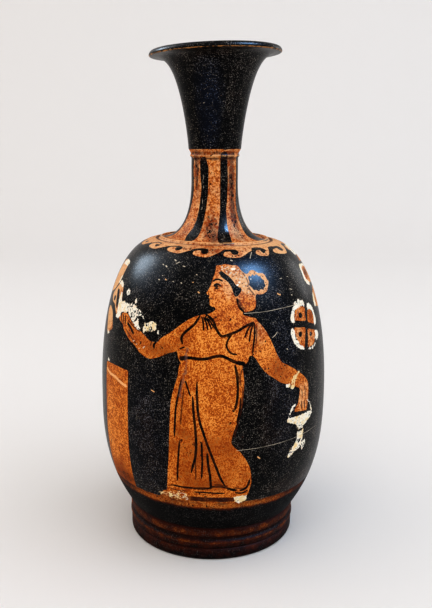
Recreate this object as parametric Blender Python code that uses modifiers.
"""A squat lekythos: a wheel-thrown oil flask with a ring foot, a full body, a narrow neck,
a trumpet mouth and one strap handle at the back. It is thrown, joined with slip and fired
as one piece of clay, so it is one solid.

Metres, +Z up. The origin is on the ground under the middle of the body. The painted
front faces -Y and the handle stands at +Y.
"""

import math

import bmesh
import bpy

# Ring foot
FOOT_RADIUS = 0.0387
FOOT_HEIGHT = 0.0149
STANDING_EDGE = 0.0014  # rounding between the foot's side and its standing ring
STANDING_RING_WIDTH = 0.0083
RECESS_DEPTH = 0.0060  # hollow under the foot
RECESS_DOME = 0.0012  # how much deeper that hollow is in its middle

# Turned mouldings on the foot, as heights above the ground
SCORED_LINE_HEIGHT = 0.0054
BEAD_HEIGHT = 0.0082
CHANNEL_HEIGHT = 0.0104
CHANNEL_WIDTH = 0.0014
MOULDING_DEPTH = 0.0004
MOULDING_SLOPE = 0.0004  # run of each moulding's flank, up the foot's side

# Body
JOINT_RADIUS = 0.0386  # where the body meets the foot
BELLY_RADIUS = 0.0521
BELLY_HEIGHT = 0.0680
SHOULDER_HEIGHT = 0.1393  # level of the raised ring round the root of the neck
SHOULDER_POWERS = (2.26, 2.15)  # how full the shoulder is, upwards and inwards
LOWER_BODY_POWER = 2.72  # how late the belly draws in towards the foot
FLOOR_POWER = 3.0
BODY_WALL = 0.0040
FLOOR_THICKNESS = 0.0060

# Neck
RING_RADIUS = 0.0242
RING_RISE = 0.0005
RING_HALF_WIDTH = 0.0007
NECK_RADIUS = 0.0104
NECK_WALL = 0.0042
COVE_TOP_HEIGHT = 0.1656  # where the spreading root of the neck becomes straight
COVE_POWERS = (2.38, 2.34)
COLLAR_HEIGHT = 0.1756  # thin raised line below the mouth
COLLAR_RISE = 0.0004

# Mouth
MOUTH_BASE_RADIUS = 0.0117
MOUTH_BASE_HEIGHT = 0.1788
MOUTH_WALL = 0.0033
MOUTH_RISE_POWER = 1.19
MOUTH_FLARE_POWER = 2.87
LIP_RADIUS = 0.0289
LIP_THICKNESS = 0.0026
LIP_SLOPE = 0.0022  # how far the lip's rounded face leans in towards its top
LIP_UNDERCUT = 0.0010  # how far the lip is drawn in under its widest line
LIP_EDGE_HEIGHT = 0.0006  # height of the widest line above the underside
TOTAL_HEIGHT = 0.2210

# Strap handle
HANDLE_WIDTH = 0.0140
HANDLE_THICKNESS = 0.0062
HANDLE_FLARE = 1.30  # how much broader the strap is at its two joints
HANDLE_NECK_HEIGHT = 0.1660
HANDLE_REACH = 0.0315  # from the axis to the middle of the strap's upright run
HANDLE_BEND_HEIGHT = 0.1600
HANDLE_ROOT_RADIUS = 0.0362  # the lower end, buried in the shoulder
HANDLE_ROOT_SINK = 0.0066  # how deep that end lies under the shoulder's surface

# How the hand-made pot departs from a true turning: the slope of each level towards +X,
# and the foot's place off the body's middle
SKEW_BY_HEIGHT = (
    (0.0, 0.0),
    (FOOT_HEIGHT, -0.020),
    (SHOULDER_HEIGHT, -0.016),
    (TOTAL_HEIGHT, 0.040),
)
FOOT_OFFSET = -0.0006

# Fineness of the faceted solid
TURNING_STEPS = 48
STRAP_SIDES = 12
CUTTER_OVERSHOOT = 0.0060

CLAY_COLOUR = (0.028, 0.026, 0.028, 1.0)
CLAY_ROUGHNESS = 0.32


def quarter_curve(start, end, height_power, radius_power, count):
    """Superellipse quarter from start to end, upright at start and level at end.

    Points are (radius, height), and both ends are included.
    """
    points = []
    for step in range(count + 1):
        angle = math.pi / 2 * step / count
        across = 1 - max(math.cos(angle), 0.0) ** (2 / radius_power)
        along = math.sin(angle) ** (2 / height_power)
        points.append(
            (
                start[0] + (end[0] - start[0]) * across,
                start[1] + (end[1] - start[1]) * along,
            )
        )
    return points


def lip_profile():
    """The lip's rounded, leaning face, from its top down to its underside."""
    underside = TOTAL_HEIGHT - LIP_THICKNESS
    tip = (LIP_RADIUS, underside + LIP_EDGE_HEIGHT)
    face = quarter_curve(tip, (LIP_RADIUS - LIP_SLOPE, TOTAL_HEIGHT), 2, 2, 4)
    edge = quarter_curve(tip, (LIP_RADIUS - LIP_UNDERCUT, underside), 2, 2, 2)
    return face[::-1] + edge[1:]


def mouth_profile():
    """The trumpet mouth, from under the lip down to its base."""
    base = (MOUTH_BASE_RADIUS, MOUTH_BASE_HEIGHT)
    under_lip = (LIP_RADIUS - LIP_UNDERCUT, TOTAL_HEIGHT - LIP_THICKNESS)
    return quarter_curve(base, under_lip, MOUTH_RISE_POWER, MOUTH_FLARE_POWER, 9)[::-1][1:]


def neck_profile():
    """The mouth's lower edge, the collar line, the straight neck and its spreading root."""
    collar_top = COLLAR_HEIGHT + COLLAR_RISE
    collar_bottom = COLLAR_HEIGHT - COLLAR_RISE
    ring = (RING_RADIUS, SHOULDER_HEIGHT)
    root = quarter_curve((NECK_RADIUS, COVE_TOP_HEIGHT), ring, *COVE_POWERS, 8)
    return [
        (NECK_RADIUS + COLLAR_RISE, collar_top + COLLAR_RISE),
        (NECK_RADIUS + 1.6 * COLLAR_RISE, collar_top),
        (NECK_RADIUS + COLLAR_RISE, collar_bottom),
        (NECK_RADIUS, collar_bottom - COLLAR_RISE),
    ] + root[:-1]


def ring_profile():
    """The small raised ring that closes the root of the neck."""
    inner, outer = RING_RADIUS - RING_HALF_WIDTH, RING_RADIUS + RING_HALF_WIDTH
    crest = SHOULDER_HEIGHT + RING_RISE
    return [
        (inner, SHOULDER_HEIGHT + 0.2 * RING_RISE),
        (RING_RADIUS, crest),
        (outer, SHOULDER_HEIGHT - 0.4 * RING_RISE),
    ]


def shoulder_ends():
    """Where the shoulder's curve starts at the belly and ends at the neck's ring."""
    belly = (BELLY_RADIUS, BELLY_HEIGHT)
    return belly, (RING_RADIUS + RING_HALF_WIDTH, SHOULDER_HEIGHT - RING_RISE)


def shoulder_level(radius):
    """Height of the shoulder's surface at a radius between the ring and the belly."""
    height_power, radius_power = SHOULDER_POWERS
    belly, ring = shoulder_ends()
    across = (belly[0] - radius) / (belly[0] - ring[0])
    angle = math.acos((1 - across) ** (radius_power / 2))
    return belly[1] + (ring[1] - belly[1]) * math.sin(angle) ** (2 / height_power)


def body_profile():
    """The shoulder and belly down to the joint with the foot."""
    shoulder = quarter_curve(*shoulder_ends(), *SHOULDER_POWERS, 12)[::-1][1:]
    drop = BELLY_HEIGHT - FOOT_HEIGHT
    lower = []
    for step in range(1, 9):
        share = step / 8
        narrowing = (BELLY_RADIUS - JOINT_RADIUS) * share**LOWER_BODY_POWER
        lower.append((BELLY_RADIUS - narrowing, BELLY_HEIGHT - drop * share))
    return shoulder + lower


def foot_profile():
    """The foot's side: a plain band, a channel, a bead, a scored line and the standing edge."""
    side = FOOT_RADIUS
    band_top = FOOT_HEIGHT - MOULDING_SLOPE
    channel_top = CHANNEL_HEIGHT + CHANNEL_WIDTH / 2
    channel_bottom = CHANNEL_HEIGHT - CHANNEL_WIDTH / 2
    edge = quarter_curve(
        (side, STANDING_EDGE), (side - STANDING_EDGE, 0.0), 2, 2, 4
    )
    return [
        (side + MOULDING_DEPTH / 2, band_top),
        (side + MOULDING_DEPTH / 2, channel_top + MOULDING_SLOPE),
        (side - MOULDING_DEPTH, channel_top),
        (side - MOULDING_DEPTH, channel_bottom),
        (side, channel_bottom - MOULDING_SLOPE),
        (side + MOULDING_DEPTH, BEAD_HEIGHT),
        (side, BEAD_HEIGHT - 2 * MOULDING_SLOPE),
        (side, SCORED_LINE_HEIGHT + MOULDING_SLOPE),
        (side - MOULDING_DEPTH, SCORED_LINE_HEIGHT),
        (side, SCORED_LINE_HEIGHT - MOULDING_SLOPE),
    ] + edge


def outside_profile():
    """The whole outer outline, from the axis over the lip down to the axis under the foot."""
    outline = [(0.0, TOTAL_HEIGHT)]
    outline += lip_profile() + mouth_profile() + neck_profile()
    outline += ring_profile() + body_profile() + foot_profile()
    return outline + [(0.0, 0.0)]


def cavity_profile():
    """The hollow inside the pot, from above the mouth down to the floor."""
    bore = NECK_RADIUS - NECK_WALL
    mouth_rim = (LIP_RADIUS - 1.6 * LIP_SLOPE, TOTAL_HEIGHT)
    bore_bottom = (bore, COVE_TOP_HEIGHT - BODY_WALL)
    throat = (MOUTH_BASE_RADIUS - MOUTH_WALL, MOUTH_BASE_HEIGHT)
    vault = (RING_RADIUS - BODY_WALL, SHOULDER_HEIGHT - BODY_WALL)
    belly = (BELLY_RADIUS - BODY_WALL, BELLY_HEIGHT)
    floor = (0.0, RECESS_DEPTH + RECESS_DOME + FLOOR_THICKNESS)
    outline = [
        (0.0, TOTAL_HEIGHT + CUTTER_OVERSHOOT),
        (mouth_rim[0], TOTAL_HEIGHT + CUTTER_OVERSHOOT),
    ]
    outline += quarter_curve(throat, mouth_rim, MOUTH_RISE_POWER, MOUTH_FLARE_POWER, 7)[::-1]
    outline += quarter_curve(bore_bottom, vault, *COVE_POWERS, 6)
    outline += quarter_curve(belly, vault, *SHOULDER_POWERS, 7)[::-1][1:]
    return outline + quarter_curve(belly, floor, FLOOR_POWER, FLOOR_POWER, 7)[1:]


def recess_profile():
    """The hollow under the foot, inside the standing ring."""
    mouth = FOOT_RADIUS - STANDING_EDGE - STANDING_RING_WIDTH
    ceiling = mouth - RECESS_DEPTH / 3
    return [
        (0.0, RECESS_DEPTH + RECESS_DOME),
        (ceiling / 2, RECESS_DEPTH + 0.8 * RECESS_DOME),
        (ceiling, RECESS_DEPTH),
        (mouth, 0.0),
        (mouth, -CUTTER_OVERSHOOT),
        (0.0, -CUTTER_OVERSHOOT),
    ]


def turned(name, profile, collection):
    """A solid of revolution from (radius, height) points that run down its outer side."""
    mesh = bpy.data.meshes.new(name)
    outline = bmesh.new()
    corners = [outline.verts.new((radius, 0.0, height)) for radius, height in profile]
    for upper, lower in zip(corners, corners[1:]):
        outline.edges.new((upper, lower))
    outline.to_mesh(mesh)
    outline.free()
    solid = bpy.data.objects.new(name, mesh)
    collection.objects.link(solid)
    screw = solid.modifiers.new("turning", "SCREW")
    screw.axis = "Z"
    screw.steps = TURNING_STEPS
    screw.render_steps = TURNING_STEPS
    screw.use_merge_vertices = True
    screw.merge_threshold = 0.00001
    screw.use_smooth_shade = True
    return solid


def strap_section(collection):
    """The handle's rounded cross-section, as a closed outline for the curve's bevel."""
    outline = bpy.data.curves.new("strap_section", "CURVE")
    outline.dimensions = "2D"
    loop = outline.splines.new("POLY")
    loop.points.add(STRAP_SIDES - 1)
    for number, point in enumerate(loop.points):
        angle = 2 * math.pi * (number + 0.5) / STRAP_SIDES
        along_width = math.copysign(abs(math.cos(angle)) ** 0.8, math.cos(angle))
        x = HANDLE_WIDTH / 2 * along_width
        y = HANDLE_THICKNESS / 2 * math.sin(angle)
        point.co = (x, y, 0.0, 1.0)
    loop.use_cyclic_u = True
    section = bpy.data.objects.new("strap_section", outline)
    collection.objects.link(section)
    section.hide_render = True
    section.display_type = "WIRE"
    return section


def handle_curve(section, collection):
    """The strap handle as a swept curve whose two ends are buried in the wall."""
    path = bpy.data.curves.new("handle", "CURVE")
    path.dimensions = "3D"
    path.twist_mode = "MINIMUM"
    path.resolution_u = 7
    path.bevel_mode = "OBJECT"
    path.bevel_object = section
    path.use_fill_caps = True
    spline = path.splines.new("BEZIER")
    spline.bezier_points.add(2)
    buried = NECK_RADIUS - NECK_WALL
    root_height = shoulder_level(HANDLE_ROOT_RADIUS) - HANDLE_ROOT_SINK
    stations = (
        # where it passes, its bend towards the next one, breadth
        ((buried, HANDLE_NECK_HEIGHT), (0.0125, 0.0075), HANDLE_FLARE),
        ((HANDLE_REACH, HANDLE_BEND_HEIGHT), (0.0016, -0.0085), 1.0),
        ((HANDLE_ROOT_RADIUS, root_height), (0.0010, -0.0100), HANDLE_FLARE),
    )
    for knot, (place, reach, breadth) in zip(spline.bezier_points, stations):
        knot.co = (0.0, place[0], place[1])
        knot.handle_right = (0.0, place[0] + reach[0], place[1] + reach[1])
        knot.handle_left = (0.0, place[0] - reach[0], place[1] - reach[1])
        knot.radius = breadth
    handle = bpy.data.objects.new("handle", path)
    collection.objects.link(handle)
    return handle


def as_mesh(source, name, collection):
    """A mesh object of what source looks like, with its doubled points welded."""
    graph = bpy.context.evaluated_depsgraph_get()
    mesh = bpy.data.meshes.new_from_object(source.evaluated_get(graph))
    mesh.name = name
    welded = bmesh.new()
    welded.from_mesh(mesh)
    bmesh.ops.remove_doubles(welded, verts=welded.verts, dist=0.000005)
    bmesh.ops.recalc_face_normals(welded, faces=welded.faces)
    welded.to_mesh(mesh)
    welded.free()
    made = bpy.data.objects.new(name, mesh)
    made.matrix_world = source.matrix_world
    collection.objects.link(made)
    return made


def boolean(target, tool, operation):
    """Adds a Boolean of target with tool, and hides tool as a helper."""
    modifier = target.modifiers.new(tool.name, "BOOLEAN")
    modifier.operation = operation
    modifier.object = tool
    tool.hide_render = True
    tool.display_type = "WIRE"


def skew_at(height):
    """The slope of a level towards +X, eased smoothly between the listed heights."""
    for (low, before), (high, after) in zip(SKEW_BY_HEIGHT, SKEW_BY_HEIGHT[1:]):
        if height <= high:
            share = max(height - low, 0.0) / (high - low)
            return before + (after - before) * share * share * (3 - 2 * share)
    return SKEW_BY_HEIGHT[-1][1]


def settle_by_hand(mesh):
    """Gives the true turning the slight skew of the hand-made pot."""
    for vertex in mesh.vertices:
        x, height = vertex.co.x, vertex.co.z
        above_foot = (height - FOOT_HEIGHT) / (BELLY_HEIGHT - FOOT_HEIGHT)
        nearness = 1 - min(max(above_foot, 0.0), 1.0)
        vertex.co.x += FOOT_OFFSET * nearness
        vertex.co.z += x * skew_at(height)


def gloss_clay():
    """Black-glossed fired clay."""
    material = bpy.data.materials.new("gloss_clay")
    material.use_nodes = True
    shader = material.node_tree.nodes["Principled BSDF"]
    shader.inputs["Base Color"].default_value = CLAY_COLOUR
    shader.inputs["Roughness"].default_value = CLAY_ROUGHNESS
    shader.inputs["Metallic"].default_value = 0.0
    return material


def new_collection(name):
    made = bpy.data.collections.new(name)
    bpy.context.scene.collection.children.link(made)
    return made


def build():
    for leftover in list(bpy.data.objects):
        bpy.data.objects.remove(leftover)
    parts = new_collection("squat_lekythos")
    helpers = new_collection("helpers")

    pot = turned("thrown_pot", outside_profile(), helpers)
    curve = handle_curve(strap_section(helpers), helpers)
    handle = as_mesh(curve, "strap_handle", helpers)
    bpy.data.objects.remove(curve)
    cavity = turned("cavity", cavity_profile(), helpers)
    recess = turned("foot_recess", recess_profile(), helpers)
    boolean(pot, handle, "UNION")
    boolean(pot, cavity, "DIFFERENCE")
    boolean(pot, recess, "DIFFERENCE")
    bpy.context.view_layer.update()

    lekythos = as_mesh(pot, "lekythos", parts)
    pot.hide_render = True
    pot.display_type = "WIRE"
    settle_by_hand(lekythos.data)
    lekythos.data.materials.clear()
    lekythos.data.materials.append(gloss_clay())
    lekythos.data.shade_smooth()
    lekythos.data.set_sharp_from_angle(angle=math.radians(35))


build()
